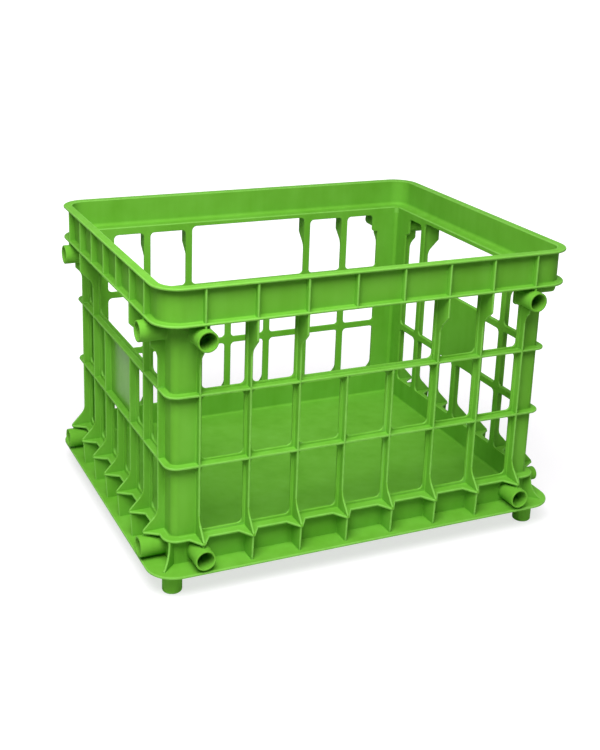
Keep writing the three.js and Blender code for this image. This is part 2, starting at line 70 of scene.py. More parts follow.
# Levels, from the frame
FLANGE_BOTTOM, FLOOR_TOP = span("floor_pan", "z")
FLANGE_TOP, LEDGE_TOP = span("front_base_rail", "z")
LABEL_BOTTOM, LABEL_TOP = span("right_label_panel", "z")
UPPER_RIB_TOP, LEG_BOTTOM = span("front_upper_panel_left", "z")
HAND_HOLE_BOTTOM = span("front_lattice", "z")[1]
LOWER_LIP_BOTTOM, RIM_TOP = span("front_rim", "z")

# Plan, from the frame
RIM_X = span("right_rim", "x")[1]
RIM_Y = span("back_rim", "y")[1]
FLANGE_REACH = span("floor_pan", "x")[1] - RIM_X
POINT_REACH = span("right_base_rail", "x")[1] - RIM_X
WALL_INNER = RIM_X - span("right_label_panel", "x")[0]
WALL_INSET = RIM_X - span("right_label_panel", "x")[1]
COUPLING_REACH = span("right_upper_peg_back", "x")[1] - RIM_X
SOCKET_RADIUS = width("front_upper_socket_right") / 2
PEG_RADIUS = width("back_upper_peg_right") / 2
FOOT_RADIUS = width("front_right_foot") / 2

# Sizes of the moulding, and how many ribs its floor has
LIP = 2.5
WEB_INSET = 6.5
WEB_INNER = 9
SHELF = 2.5
SHELF_RISE = 4.5
RIB = 2.25
RIB_INSET = 13.25
FIN = 2
LEDGE = 2.5
LEDGE_INSET = 12
CORNER_RADIUS = 26
FLANGE_CORNER_RADIUS = 27
RIM_RIB_INSET = 0.75
GUSSET_INSET = 0.25
GUSSET_HEIGHT = 19.5
GUSSET_TAPER = 13
STRIP = 7.5
RIB_STRIP = 7
SILL = 3
HEAD = 3.5
WINDOW_RADIUS = 4.5
HAND_HOLE_RADIUS = 5
POINT_WIDTH = 19.5
POINT_TIP = 3
FLARE_HEIGHT = 16
FLARE_FOOT = 0.75
BASE_WEB_INSET = 0.25
BASE_WEB_DRAFT = 1.5
CORNER_WEB_REACH = 25
CORNER_WEB_FOOT = 1
CORNER_WEB_KNEE = 8
SOCKET_WALL = 1.75
SOCKET_ROOM = 2.5
PEG_WALL = 2.25
PAD_MARGIN = 1.25
PAD_DROP = 8.75
BRACE_INSET = 6.5
BRACE_DROP = 15
BRACE_TAPER = 6.75
FOOT_CORE_RADIUS = 5
FOOT_CORE_DEPTH = 15
FLOOR = 2.5
FLOOR_RIBS_ACROSS = 4
FLOOR_RIBS_ALONG = 3

# Rounded edges and filleted roots
LIP_EDGE = 1.1
PLATE_EDGE = 0.9
FIN_EDGE = 0.75
WINDOW_EDGE = 0.55
TUBE_EDGE = 0.6
PEG_EDGE = 1.25
ROOT = 1.1
LEDGE_ROOT = 1.6
SHELF_ROOT = 3.5
SHELF_EDGE = 1.2
TUBE_ROOT = 1.2
FLOOR_ROOT = 2.5
FIN_KNEE = 12
FIN_TIP = 1.5
PAD_EDGE = 1.5
PAD_CORNER = 3.5
FOOT_EDGE = 2

# How deep joined parts sink into each other, the step between parting planes, and the
# distance below which two points of an outline are one
SINK = 1
SLICE = 0.05
SAME = 0.001

# Facets of the round stretches
EDGE_STEPS = 3
CORNER_STEPS = 10
WINDOW_STEPS = 5
CURVE_STEPS = 6
TUBE_SIDES = 40

# Levels and sizes that follow from these
LOWER_RIB_TOP = LABEL_BOTTOM - (RIB_STRIP - RIB) / 2
LOWER_LIP_TOP = LOWER_LIP_BOTTOM + LIP
SHELF_TOP = LOWER_LIP_TOP + SHELF_RISE
LEDGE_BOTTOM = LEDGE_TOP - LEDGE
TOP_LIP_BOTTOM = RIM_TOP - LIP
LOWER_COUPLING = middle("front_lower_socket_right", "z")
UPPER_COUPLING = LOWER_LIP_BOTTOM - SOCKET_ROOM - SOCKET_RADIUS
PAD_RADIUS = SOCKET_RADIUS + PAD_MARGIN
PAD_BOTTOM = UPPER_COUPLING - PAD_DROP
BRACE_BOTTOM = UPPER_COUPLING - BRACE_DROP
BRACE_FOOT = BRACE_BOTTOM - BRACE_TAPER
GUSSET_BOTTOM = LOWER_LIP_BOTTOM - GUSSET_HEIGHT
GUSSET_FOOT = GUSSET_BOTTOM - GUSSET_TAPER
WINDOW_ROWS = {
    "low": (LEDGE_TOP + SILL, LOWER_RIB_TOP - (RIB + RIB_STRIP) / 2),
    "middle": (LABEL_BOTTOM, LABEL_TOP),
    "top": (HAND_HOLE_BOTTOM, LEG_BOTTOM - HEAD),
}


class Wall:
    """A wall in its own frame: it faces -Y with its length along X, and is turned into place.

    half is half the length of its rim's edge, and depth is how far that edge stands from the
    crate's middle. The end fin, the seam to the corner, the end of the hand hole and the end of
    the label panel are given by their distance from the wall's middle.
    """

    def __init__(self, side, turn, coupling, half, depth, end_fin, fins, seam, hand_hole, label):
        self.side = side
        self.turn = turn
        self.coupling = coupling
        self.radius = {"socket": SOCKET_RADIUS, "peg": PEG_RADIUS}[coupling]
        self.half = half
        self.depth = depth
        self.seam = seam
        self.hand_hole = hand_hole
        self.label = label
        pitch = 2 * end_fin / (fins - 1)
        self.fins = [i * pitch - end_fin for i in range(fins)]
        self.end_fin = end_fin

    def place(self, along, reach, height):
        """A point along the wall, a reach outside the rim's edge and a height."""
        point = Vector((along, -self.depth - reach, height))
        return Matrix.Rotation(self.turn * QUARTER, 3, "Z") @ point

    def stretch(self, slices):
        """The straight stretch between the seams, shorter by some slices at each end."""
        end = self.seam - slices * SLICE
        return (-end, end)

    def at_end(self, along):
        return abs(along) > self.seam

    def in_hand_hole(self, along):
        return abs(along) < self.hand_hole

    def in_label(self, along):
        return self.label is not None and abs(along) < self.label


def long_wall(side, turn, coupling):
    return Wall(
        side,
        turn,
        coupling,
        half=RIM_X,
        depth=RIM_Y,
        end_fin=middle("front_upper_socket_right", "x"),
        fins=8,
        seam=span("front_rim", "x")[1],
        hand_hole=span("front_upper_panel_right", "x")[0],
        label=None,
    )


def short_wall(side, turn, coupling):
    return Wall(
        side,
        turn,
        coupling,
        half=RIM_Y,
        depth=RIM_X,
        end_fin=middle("right_upper_peg_back", "y"),
        fins=7,
        seam=span("right_rim", "y")[1],
        hand_hole=span("right_upper_panel_back", "y")[0],
        label=span("right_label_panel", "y")[1],
    )


WALLS = [
    long_wall("front", 0, "socket"),
    short_wall("right", 1, "peg"),
    long_wall("back", 2, "peg"),
    short_wall("left", 3, "socket"),
]
CORNERS = ["front_right", "back_right", "back_left", "front_left"]
ENDS = {
    "front": ("left", "right"),
    "right": ("front", "back"),
    "back": ("right", "left"),
    "left": ("back", "front"),
}


# Outlines
def rounded(corners, steps=EDGE_STEPS):
    """A closed outline from (x, y, radius) corners, each rounded by its radius."""
    outline = []
    for i, (x, y, radius) in enumerate(corners):
        here = Vector((x, y))
        if radius == 0:
            outline.append((x, y))
            continue
        back = (Vector(corners[i - 1][:2]) - here).normalized()
        ahead = (Vector(corners[(i + 1) % len(corners)][:2]) - here).normalized()
        half = back.angle(ahead) / 2
        centre = here + (back + ahead).normalized() * radius / math.sin(half)
        start = here + back * radius / math.tan(half) - centre
        turn = start.angle_signed(here + ahead * radius / math.tan(half) - centre)
        for k in range(steps + 1):
            point = centre + Matrix.Rotation(-turn * k / steps, 2) @ start
            outline.append((point.x, point.y))
    return [p for i, p in enumerate(outline) if math.dist(p, outline[i - 1]) > SAME]


def curve(start, knee, end):
    """Points of a bend from start to end, pulled towards the knee."""
    a, b, c = Vector(start), Vector(knee), Vector(end)
    points = []
    for k in range(CURVE_STEPS + 1):
        t = k / CURVE_STEPS
        points.append(tuple(a * (1 - t) ** 2 + b * 2 * t * (1 - t) + c * t ** 2))
    return points


def anticlockwise(outline):
    area = sum(a[0] * b[1] - b[0] * a[1] for a, b in zip(outline, outline[1:] + outline[:1]))
    return outline if area > 0 else outline[::-1]


def grown(outline, growth):
    """An anticlockwise outline, moved outwards by growth all round."""
    points = [Vector(p) for p in outline]
    moved = []
    for i, here in enumerate(points):
        before = (here - points[i - 1]).normalized()
        after = (points[(i + 1) % len(points)] - here).normalized()
        out_before = Vector((before.y, -before.x))
        out_after = Vector((after.y, -after.x))
        moved.append(here + (out_before + out_after) * growth / (1 + out_before.dot(out_after)))
    return moved


def pillow(low, high, radius):
    """Layers of a plate whose edges are rounded: (height, growth) pairs."""
    turns = [QUARTER * k / EDGE_STEPS for k in range(EDGE_STEPS + 1)]
    lower = [(low + radius * (1 - math.cos(t)), -radius * (1 - math.sin(t))) for t in turns]
    return lower + [(low + high - height, growth) for height, growth in reversed(lower)]


# Parts: points in millimetres, and faces
def layered(outline, layers, place):
    """An outline repeated at each (height, growth) of its layers, closed at both ends."""
    outline = anticlockwise(outline)
    count = len(outline)
    points = []
    for height, growth in layers:
        points += [place(x, y, height) for x, y in grown(outline, growth)]
    faces = [tuple(range(count)), tuple(range(len(points) - count, len(points)))]
    for k in range(len(layers) - 1):
        for i in range(count):
            j = (i + 1) % count
            faces.append((k * count + i, k * count + j, (k + 1) * count + j, (k + 1) * count + i))
    return points, faces


def plain(outline, low, high, place):
    return layered(outline, [(low, 0), (high, 0)], place)


def turned(profile, place):
    """A solid turned from (radius, height) pairs that start and end on the axis."""
    points, rows = [], []
    for radius, height in profile:
        sides = TUBE_SIDES if radius > 0 else 1
        rows.append([len(points) + i for i in range(sides)])
        for i in range(sides):
            angle = 2 * math.pi * i / sides
            points.append(place(radius * math.cos(angle), radius * math.sin(angle), height))
    faces = []
    for low, high in zip(rows, rows[1:]):
        for i in range(TUBE_SIDES):
            j = (i + 1) % TUBE_SIDES
            ring = [low[i % len(low)], low[j % len(low)], high[j % len(high)], high[i % len(high)]]
            faces.append(tuple(dict.fromkeys(ring)))
    return points, faces


def swept(section, corner_radius=CORNER_RADIUS):
    """A closed section of (inset, height) pairs, swept round the crate's plan."""
    points, faces = [], []
    for corner, (x, y) in enumerate(((1, -1), (1, 1), (-1, 1), (-1, -1))):
        for step in range(CORNER_STEPS + 1):
            angle = QUARTER * (corner - 1 + step / CORNER_STEPS)
            for inset, height in section:
                reach = corner_radius - inset
                points.append(
                    (
                        x * (RIM_X - corner_radius) + reach * math.cos(angle),
                        y * (RIM_Y - corner_radius) + reach * math.sin(angle),
                        height,
                    )
                )
    count = len(section)
    total = len(points)
    for start in range(0, total, count):
        for i in range(count):
            j = (i + 1) % count
            far = (start + count) % total
            faces.append((start + i, start + j, far + j, far + i))
    return points, faces


def plan(x, y, height):
    return (x, y, height)


# Solids
def build(parts):
    """One mesh object from closed parts that stay clear of each other."""
    form = bmesh.new()
    for points, faces in parts:
        made = [form.verts.new(Vector(p) * MM) for p in points]
        for face in faces:
            form.faces.new([made[i] for i in face])
    bmesh.ops.recalc_face_normals(form, faces=form.faces)
    mesh = bpy.data.meshes.new("part")
    form.to_mesh(mesh)
    form.free()
    made = bpy.data.objects.new("part", mesh)
    bpy.context.scene.collection.objects.link(made)
    return made


def combined(body, tool, operation):
    """The mesh of a body joined with, cut by or limited to a tool."""
    modifier = body.modifiers.new("combine", "BOOLEAN")
    modifier.solver = "MANIFOLD"
    modifier.operation = operation
    modifier.object = tool
    graph = bpy.context.evaluated_depsgraph_get()
    mesh = bpy.data.meshes.new_from_object(body.evaluated_get(graph))
    body.modifiers.remove(modifier)
    return mesh


def discard(made):
    mesh = made.data
    bpy.data.objects.remove(made)
    bpy.data.meshes.remove(mesh)


def change(body, parts, operation):
    """Joins parts to a body, or cuts them out of it."""
    tool = build(parts)
    old = body.data
    body.data = combined(body, tool, operation)
    bpy.data.meshes.remove(old)
    discard(tool)


# The wall's section, from the inner foot up, over the rim and down the outside
def wall_section():
    foot = FLANGE_TOP - SINK
    ribs = []
    for top in (UPPER_RIB_TOP, LOWER_RIB_TOP):
        ribs += [
            (WALL_INSET, top, ROOT),
            (RIB_INSET, top, PLATE_EDGE),
            (RIB_INSET, top - RIB, PLATE_EDGE),
            (WALL_INSET, top - RIB, ROOT),
        ]
    return rounded(
        [
            (WALL_INNER, foot, 0),
            (WALL_INNER, SHELF_TOP, SHELF_EDGE),
            (WEB_INNER, SHELF_TOP, SHELF_ROOT),
            (WEB_INNER, RIM_TOP, LIP_EDGE),
            (0, RIM_TOP, LIP_EDGE),
            (0, TOP_LIP_BOTTOM, LIP_EDGE),
            (WEB_INSET, TOP_LIP_BOTTOM, ROOT),
            (WEB_INSET, LOWER_LIP_TOP, ROOT),
            (0, LOWER_LIP_TOP, LIP_EDGE),
            (0, LOWER_LIP_BOTTOM, LIP_EDGE),
            (WEB_INNER, LOWER_LIP_BOTTOM, PLATE_EDGE),
            (WEB_INNER, SHELF_TOP - SHELF, ROOT),
            (WALL_INSET, SHELF_TOP - SHELF, ROOT),
            *ribs,
            (WALL_INSET, LEDGE_TOP, LEDGE_ROOT),
            (LEDGE_INSET, LEDGE_TOP, LIP_EDGE),
            (LEDGE_INSET, LEDGE_BOTTOM, LIP_EDGE),
            (WALL_INSET, LEDGE_BOTTOM, ROOT),
            (WALL_INSET, foot, 0),
        ]
    )


# Windows: tools that leave the wall's edges rounded on both faces
def window_part(wall, outline):
    layers = [(height, -growth) for height, growth in pillow(-WALL_INNER, -WALL_INSET, WINDOW_EDGE)]
    first = (layers[0][0] - SINK, layers[0][1])
    last = (layers[-1][0] + SINK, layers[-1][1])
    return layered(outline, [first, *layers, last], lambda u, z, reach: wall.place(u, reach, z))


def opening(left, right, bottom, top, radius=WINDOW_RADIUS):
    corners = [(left, bottom), (right, bottom), (right, top), (left, top)]
    return rounded([(*corner, radius) for corner in corners], WINDOW_STEPS)


def end_window(inner, outer, bottom, top):
    """The top window beside an end fin, whose outer upper corner a coupling's pad takes."""
    sign = math.copysign(1, outer)
    pad = outer + sign * (STRIP / 2 - PAD_RADIUS)
    return rounded(
        [
            (inner, bottom, WINDOW_RADIUS),
            (outer, bottom, WINDOW_RADIUS),
            (outer, PAD_BOTTOM, PAD_EDGE),
            (pad, PAD_BOTTOM, PAD_CORNER),
            (pad, top, WINDOW_RADIUS),
            (inner, top, WINDOW_RADIUS),
        ],
        WINDOW_STEPS,
    )


def window_parts(wall):
    hole = wall.hand_hole
    outlines = [opening(-hole, hole, HAND_HOLE_BOTTOM, LEG_BOTTOM, HAND_HOLE_RADIUS)]
    for left_fin, right_fin in zip(wall.fins, wall.fins[1:]):
        left, right = left_fin + STRIP / 2, right_fin - STRIP / 2
        centre = (left + right) / 2
        outlines.append(opening(left, right, *WINDOW_ROWS["low"]))
        if not wall.in_label(centre):
            outlines.append(opening(left, right, *WINDOW_ROWS["middle"]))
        if right_fin == wall.fins[-1]:
            outlines.append(end_window(left, right, *WINDOW_ROWS["top"]))
        elif left_fin == wall.fins[0]:
            outlines.append(end_window(right, left, *WINDOW_ROWS["top"]))
        elif not wall.in_hand_hole(centre):
            outlines.append(opening(left, right, *WINDOW_ROWS["top"]))
    return [window_part(wall, outline) for outline in outlines]


# Fins: upright plates across the wall, outlined by reach and height
ROOT_REACH = SINK - WALL_INNER


def fin_part(wall, along, outline):
    layers = pillow(along - FIN / 2, along + FIN / 2, FIN_EDGE)
    return layered(outline, layers, lambda reach, z, u: wall.place(u, reach, z))


def fin_outline(wall, along):
    """The whole fin: up to the lip, or to the rib below a hand hole or a label panel."""
    foot = [
        (ROOT_REACH, LEDGE_TOP - SINK, 0),
        (POINT_REACH, LEDGE_TOP - SINK, 0),
        (POINT_REACH, LEDGE_TOP + FLARE_FOOT, FIN_TIP),
        (-RIB_INSET, LEDGE_TOP + FLARE_HEIGHT, FIN_KNEE),
    ]
    inset, bottom, start = GUSSET_INSET, GUSSET_BOTTOM, GUSSET_FOOT
    if wall.at_end(along):
        inset, bottom, start = BRACE_INSET, BRACE_BOTTOM, BRACE_FOOT
    gusset = [
        (-RIB_INSET, start, FIN_KNEE),
        (-inset, bottom, FIN_TIP),
        (-inset, LOWER_LIP_BOTTOM + SINK, 0),
        (ROOT_REACH, LOWER_LIP_BOTTOM + SINK, 0),
    ]
    if wall.in_label(along):
        stop = LOWER_RIB_TOP - SINK
    elif wall.in_hand_hole(along):
        stop = UPPER_RIB_TOP - SINK
    else:
        return rounded(foot + gusset, CURVE_STEPS)
    return rounded(foot + [(-RIB_INSET, stop, 0), (ROOT_REACH, stop, 0)], CURVE_STEPS)


def root_part(wall, along, low, high):
    """The fillets on both sides of a fin's root."""
    face = -WALL_INSET
    inside = face - SINK
    side = FIN / 2 + ROOT
    outline = rounded(
        [
            (along - side, inside, 0),
            (along - side, face, 0),
            (along - FIN / 2, face, ROOT),
            (along - FIN / 2, face + ROOT, 0),
            (along + FIN / 2, face + ROOT, 0),
            (along + FIN / 2, face, ROOT),
            (along + side, face, 0),
            (along + side, inside, 0),
        ]
    )
    return plain(outline, low, high, wall.place)


def rim_rib_outline():
    root = SINK - WEB_INNER
    return [
        (root, LOWER_LIP_TOP - SINK),
        (-RIM_RIB_INSET, LOWER_LIP_TOP - SINK),
        (-RIM_RIB_INSET, TOP_LIP_BOTTOM + SINK),
        (root, TOP_LIP_BOTTOM + SINK),
    ]


# Base
def ledge_point(wall, along):
    root = -LEDGE_INSET - LIP
    outline = [
        (along - POINT_WIDTH / 2, root),
        (along - POINT_WIDTH / 2, -LEDGE_INSET),
        (along - POINT_TIP / 2, POINT_REACH),
        (along + POINT_TIP / 2, POINT_REACH),
        (along + POINT_WIDTH / 2, -LEDGE_INSET),
        (along + POINT_WIDTH / 2, root),
    ]
    return layered(outline, pillow(LEDGE_BOTTOM, LEDGE_TOP, LIP_EDGE), wall.place)


def base_web_outline(behind_peg):
    foot, top = BASE_WEB_INSET + BASE_WEB_DRAFT, BASE_WEB_INSET
    if behind_peg:
        foot = top = BRACE_INSET
    return [
        (ROOT_REACH, FLANGE_TOP - SINK),
        (-foot, FLANGE_TOP - SINK),
        (-top, LEDGE_BOTTOM + SINK),
        (ROOT_REACH, LEDGE_BOTTOM + SINK),
    ]


def corner_web(wall):
    """The web across the base's corner at a wall's right end."""
    root = CORNER_RADIUS - WALL_INNER + SINK
    top = CORNER_RADIUS - LEDGE_INSET
    bend = curve(
        (CORNER_WEB_REACH, FLANGE_TOP + CORNER_WEB_FOOT),
        (top, FLANGE_TOP + CORNER_WEB_KNEE),
        (top, LEDGE_BOTTOM),
    )
    outline = [
        (root, FLANGE_TOP - SINK),
        (CORNER_WEB_REACH, FLANGE_TOP - SINK),
        *bend,
        (top, LEDGE_BOTTOM + SINK),
        (root, LEDGE_BOTTOM + SINK),
    ]
    slant = math.sqrt(0.5)

    def place(reach, height, across):
        along = wall.half - CORNER_RADIUS + (reach + across) * slant
        return wall.place(along, (reach - across) * slant - CORNER_RADIUS, height)

    return layered(outline, pillow(-FIN / 2, FIN / 2, FIN_EDGE), place)


# Couplings
def coupling_parts(wall, profile):
    parts = []
    for along in (-wall.end_fin, wall.end_fin):
        for level in (LOWER_COUPLING, UPPER_COUPLING):
            parts.append(
                turned(profile, lambda a, b, out: wall.place(along + a, out - WALL_INSET, level + b))
            )
    return parts


def tube_parts(wall):
    """The sockets or pegs of a wall, still solid, with their filleted roots."""
    mouth = WALL_INSET + COUPLING_REACH
    edge = PEG_EDGE if wall.coupling == "peg" else TUBE_EDGE
    profile = rounded(
        [
            (0, -SINK, 0),
            (wall.radius + TUBE_ROOT, -SINK, 0),
            (wall.radius + TUBE_ROOT, 0, 0),
            (wall.radius, 0, TUBE_ROOT),
            (wall.radius, mouth, edge),
            (0, mouth, 0),
        ],
        2 * EDGE_STEPS,
    )
    return coupling_parts(wall, profile)


def bore_parts(wall):
    """What is cut out of the sockets or pegs of a wall."""
    mouth = WALL_INSET + COUPLING_REACH
    bore = wall.radius - (PEG_WALL if wall.coupling == "peg" else SOCKET_WALL)
    profile = rounded(
        [
            (0, 0, 0),
            (bore, 0, TUBE_EDGE),
            (bore, mouth, TUBE_EDGE),
            (bore + TUBE_EDGE, mouth, 0),
            (bore + TUBE_EDGE, mouth + SINK, 0),
            (0, mouth + SINK, 0),
        ],
        2 * EDGE_STEPS,
    )
    return coupling_parts(wall, profile)


def head_parts(wall):
    """The plates between the upper sockets and the lip, which reach the lip's edge."""
    if wall.coupling == "peg":
        return []
    outline = [
        (ROOT_REACH, UPPER_COUPLING),
        (-GUSSET_INSET, UPPER_COUPLING),
        (-GUSSET_INSET, LOWER_LIP_BOTTOM + SINK),
        (ROOT_REACH, LOWER_LIP_BOTTOM + SINK),
    ]
    return [fin_part(wall, along, outline) for along in (-wall.end_fin, wall.end_fin)]


# Floor and feet
def round_plan(half_x, half_y, radius):
    corners = [(half_x, -half_y), (half_x, half_y), (-half_x, half_y), (-half_x, -half_y)]
    return rounded([(*corner, radius) for corner in corners], CORNER_STEPS)


def flange_part():
    outline = round_plan(RIM_X + FLANGE_REACH, RIM_Y + FLANGE_REACH, FLANGE_CORNER_RADIUS)
    return layered(outline, pillow(FLANGE_BOTTOM, FLANGE_TOP, PLATE_EDGE), plan)


def floor_part():
    inset = WALL_INNER - SINK
    outline = round_plan(RIM_X - inset, RIM_Y - inset, CORNER_RADIUS - inset)
    return plain(outline, FLANGE_BOTTOM + SINK, FLOOR_TOP, plan)


def floor_fillet():
    top = FLOOR_TOP + FLOOR_ROOT
    inset = WALL_INNER + FLOOR_ROOT
    root = WALL_INNER - SINK
    return swept(
        rounded(
            [
                (root, FLOOR_TOP - SINK, 0),
                (inset, FLOOR_TOP - SINK, 0),
                (inset, FLOOR_TOP, 0),
                (WALL_INNER, FLOOR_TOP, FLOOR_ROOT),
                (WALL_INNER, top, 0),
                (root, top, 0),
            ]
        )
    )


POCKET_X = RIM_X - WALL_INNER - FLOOR
POCKET_Y = RIM_Y - WALL_INNER - FLOOR


def pocket_parts():
    """The hollows under the floor, between its ribs."""

    def cells(half, ribs):
        pitch = 2 * half / (ribs + 1)
        edges = []
        for i in range(ribs + 1):
            low = -half + i * pitch + (FIN / 2 if i else 0)
            high = -half + (i + 1) * pitch - (FIN / 2 if i < ribs else 0)
            edges.append((low, high))
        return edges

    parts = []
    for x0, x1 in cells(POCKET_X, FLOOR_RIBS_ACROSS):
        for y0, y1 in cells(POCKET_Y, FLOOR_RIBS_ALONG):
            outline = rounded([(x0, y0, ROOT), (x1, y0, ROOT), (x1, y1, ROOT), (x0, y1, ROOT)])
            parts.append(plain(outline, FLANGE_BOTTOM - SINK, FLOOR_TOP - FLOOR, plan))
    return parts


def foot_places():
    feet = [f"{corner}_foot" for corner in CORNERS]
    return [Vector((middle(foot, "x"), middle(foot, "y"))) for foot in feet]


def foot_parts(profile):
    parts = []
    for centre in foot_places():
        parts.append(turned(profile, lambda a, b, height: (centre.x + a, centre.y + b, height)))
    return parts


def foot_profile():
    return rounded(
        [
            (0, 0, 0),
            (FOOT_RADIUS, 0, FOOT_EDGE),
            (FOOT_RADIUS, FLANGE_BOTTOM, ROOT),
            (FOOT_RADIUS + ROOT, FLANGE_BOTTOM, 0),
            (FOOT_RADIUS + ROOT, FLANGE_BOTTOM + SINK, 0),
            (0, FLANGE_BOTTOM + SINK, 0),
        ],
        2 * EDGE_STEPS,
    )


def foot_core():
    return rounded(
        [
            (0, -SINK, 0),
            (FOOT_CORE_RADIUS + TUBE_EDGE, -SINK, 0),
            (FOOT_CORE_RADIUS + TUBE_EDGE, 0, 0),
            (FOOT_CORE_RADIUS, 0, TUBE_EDGE),
            (FOOT_CORE_RADIUS, FOOT_CORE_DEPTH, TUBE_EDGE),
            (0, FOOT_CORE_DEPTH, 0),
        ],
        2 * EDGE_STEPS,
    )


# The whole moulding
def on_walls(make):
    """The parts that a function makes on every wall."""
    return [part for wall in WALLS for part in make(wall)]


def at_fins(make):
    """The parts that a function makes at every fin of every wall."""
    return [make(wall, along) for wall in WALLS for along in wall.fins]


def fin_at(wall, along):
    return fin_part(wall, along, fin_outline(wall, along))


def fin_root_at(wall, along):
    top = max(height for _, height in fin_outline(wall, along))
    return root_part(wall, along, LEDGE_TOP - SINK, top)


def base_web_at(wall, along):
    behind_peg = wall.coupling == "peg" and wall.at_end(along)
    return fin_part(wall, along, base_web_outline(behind_peg))


def base_root_at(wall, along):
    return root_part(wall, along, FLANGE_TOP - SINK, LEDGE_BOTTOM + SINK)


def rim_rib_at(wall, along):
    return fin_part(wall, along, rim_rib_outline())


def moulding():
    body = build([swept(wall_section())])
    change(body, on_walls(window_parts), "DIFFERENCE")
    change(body, [floor_part()], "UNION")
    change(body, [flange_part()], "UNION")
    change(body, pocket_parts(), "DIFFERENCE")
    change(body, [floor_fillet()], "UNION")
    for make in (ledge_point, fin_at, fin_root_at, base_web_at, base_root_at, rim_rib_at):
        change(body, at_fins(make), "UNION")
    change(body, [corner_web(wall) for wall in WALLS], "UNION")
    change(body, on_walls(head_parts), "UNION")
    change(body, on_walls(tube_parts), "UNION")
    change(body, on_walls(bore_parts), "DIFFERENCE")
    change(body, foot_parts(foot_profile()), "UNION")
    change(body, foot_parts(foot_core()), "DIFFERENCE")
    return body


# Parting the moulding into the pieces of the frame
FAR = 400
DEPTH = (-60, 60)


def cell(wall, along, reach, height):
    """A box in a wall's frame, from (low, high) pairs."""
    (left, right), (inner, outer), (bottom, top) = along, reach, height
    outline = [(left, inner), (right, inner), (right, outer), (left, outer)]
    return plain(outline, bottom, top, wall.place)


def corner_cell(wall, height):
    """The quarter of the crate at a wall's right end."""
    return cell(wall, (0, FAR), (-wall.depth, FAR), height)


def floor_cells():
    inset = WALL_INNER + SLICE
    interior = round_plan(RIM_X - inset, RIM_Y - inset, CORNER_RADIUS - inset)
    everything = round_plan(RIM_X + FAR, RIM_Y + FAR, CORNER_RADIUS)
    return [
        plain(everything, 0, FLANGE_TOP + SLICE, plan),
        plain(interior, FLANGE_BOTTOM, FLOOR_TOP + 2 * FLOOR_ROOT, plan),
    ]


def coupling_cells(wall, along, height):
    half = wall.radius + TUBE_ROOT + SLICE
    return [cell(wall, (along - half, along + half), (SLICE - WALL_INSET, FAR), height)]


def rim_cells(wall, along):
    lips = (LOWER_LIP_BOTTOM - SLICE, FAR)
    legs = (LEG_BOTTOM - SLICE, FAR)
    return [cell(wall, along, (SLICE - WALL_INSET, FAR), lips), cell(wall, along, DEPTH, legs)]


def panel_cells(wall, sign):
    """The wall beside a hand hole, with the hole's rounded upper corner."""
    hole = wall.hand_hole - SLICE
    corner = (sign * (hole - HAND_HOLE_RADIUS), sign * (hole + HAND_HOLE_RADIUS))
    panel = (sign * hole, sign * wall.stretch(2)[1])
    return [
        cell(wall, sorted(panel), DEPTH, (UPPER_RIB_TOP + SLICE, FAR)),
        cell(wall, sorted(corner), DEPTH, (LEG_BOTTOM - 2 * HAND_HOLE_RADIUS, FAR - SINK)),
    ]


def pieces_in_order():
    """Each node's name with the cells that hold its piece, the smaller pieces first."""
    pieces = []
    for corner, wall in zip(CORNERS, WALLS):
        pieces.append((f"{corner}_foot", [corner_cell(wall, (-SINK, FLANGE_BOTTOM - SLICE))]))
    pieces.append(("floor_pan", floor_cells()))
    levels = {
        "lower": (FLANGE_TOP, LEDGE_BOTTOM - SLICE),
        "upper": (UPPER_RIB_TOP + ROOT + SLICE, LOWER_LIP_BOTTOM - SLICE),
    }
    for wall in WALLS:
        for end, sign in zip(ENDS[wall.side], (-1, 1)):
            for level, height in levels.items():
                name = f"{wall.side}_{level}_{wall.coupling}_{end}"
                pieces.append((name, coupling_cells(wall, sign * wall.end_fin, height)))
        if wall.label:
            label = cell(wall, (-wall.label, wall.label), DEPTH, (LABEL_BOTTOM, LABEL_TOP))
            pieces.append((f"{wall.side}_label_panel", [label]))
        pieces.append((f"{wall.side}_rim", rim_cells(wall, wall.stretch(0))))
        rail = cell(wall, wall.stretch(1), DEPTH, (0, LEDGE_TOP + SLICE))
        pieces.append((f"{wall.side}_base_rail", [rail]))
        for end, sign in zip(ENDS[wall.side], (-1, 1)):
            pieces.append((f"{wall.side}_upper_panel_{end}", panel_cells(wall, sign)))
        pieces.append((f"{wall.side}_lattice", [cell(wall, wall.stretch(3), DEPTH, (0, FAR))]))
    for corner, wall in zip(CORNERS, WALLS):
        rim = corner_cell(wall, (LOWER_LIP_BOTTOM - 2 * SLICE, FAR))
        base = corner_cell(wall, (0, LEDGE_TOP + 2 * SLICE))
        pieces.append((f"{corner}_rim_corner", [rim]))
        pieces.append((f"{corner}_base_corner", [base]))
        pieces.append((f"{corner}_post", [corner_cell(wall, (0, FAR))]))
    return pieces


def take(body, cells):
    """A new piece: what lies inside the cells, which is cut out of the body."""
    tool = build(cells[:1])
    for extra in cells[1:]:
        change(tool, [extra], "UNION")
    piece = bpy.data.objects.new("piece", combined(body, tool, "INTERSECT"))
    old = body.data
    body.data = combined(body, tool, "DIFFERENCE")
    bpy.data.meshes.remove(old)
    discard(tool)
    bpy.context.scene.collection.objects.link(piece)
    return piece


SMOOTH_UNDER = math.radians(50)
ROUND_OVER = math.radians(12)
EDGE_WIDTH = (0.17, 0.5)


def soften(piece):
    """Rounded edges shade smoothly into the flats beside them."""
    piece.data.shade_smooth()
    piece.data.set_sharp_from_angle(angle=SMOOTH_UNDER)
    weighted = piece.modifiers.new("weighted", "WEIGHTED_NORMAL")
    weighted.keep_sharp = True


